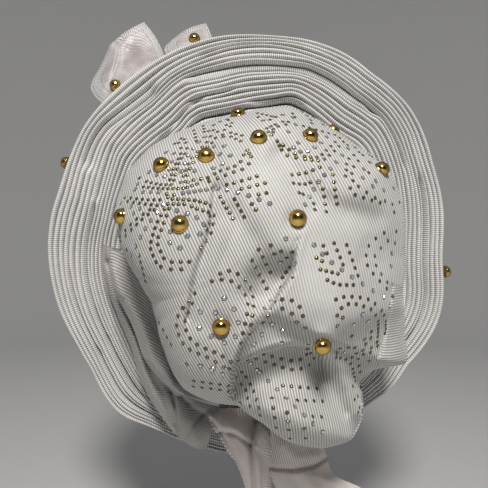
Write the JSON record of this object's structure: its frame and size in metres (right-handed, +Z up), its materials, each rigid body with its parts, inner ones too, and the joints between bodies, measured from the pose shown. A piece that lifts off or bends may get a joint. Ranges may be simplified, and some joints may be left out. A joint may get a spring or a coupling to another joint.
{
  "type": "pre-tied gele head wrap",
  "caption": "Ready-made head wrap: ring of accordion pleats round a soft gathered crown studded with gold domes, with nape ties and front bow ends.",
  "frame": {"origin": "middle of the head opening, where the wearer's head holds the wrap", "axes": "+X to the wearer's right, +Y forward out of the head opening, +Z up"},
  "size_m": [0.4187, 0.2407, 0.5593],
  "materials": {
    "pleated_cloth": "ribbed lilac-white gele cloth, soft sheen",
    "crown_cloth": "ribbed lilac-white gele cloth with small gold and silver stones",
    "plain_cloth": "ribbed lilac-white gele cloth without stones",
    "bow_cloth": "smooth satin face of the cloth with a stitched hem",
    "gold": "polished gold dome"
  },
  "bodies": {
    "root": {"fan": "pleated_cloth", "head_band": "plain_cloth", "crown": "crown_cloth", "side_gather": "plain_cloth", "tie_left": "plain_cloth", "tie_right": "plain_cloth", "front_tab_left": "bow_cloth", "front_tab_right": "bow_cloth", "dome_01": "gold", "dome_02": "gold", "dome_03": "gold", "dome_04": "gold", "dome_05": "gold", "dome_06": "gold", "dome_07": "gold", "dome_08": "gold", "dome_09": "gold", "dome_10": "gold", "dome_11": "gold", "dome_12": "gold", "dome_13": "gold", "dome_14": "gold", "dome_15": "gold", "dome_16": "gold"}
  },
  "joints": []
}
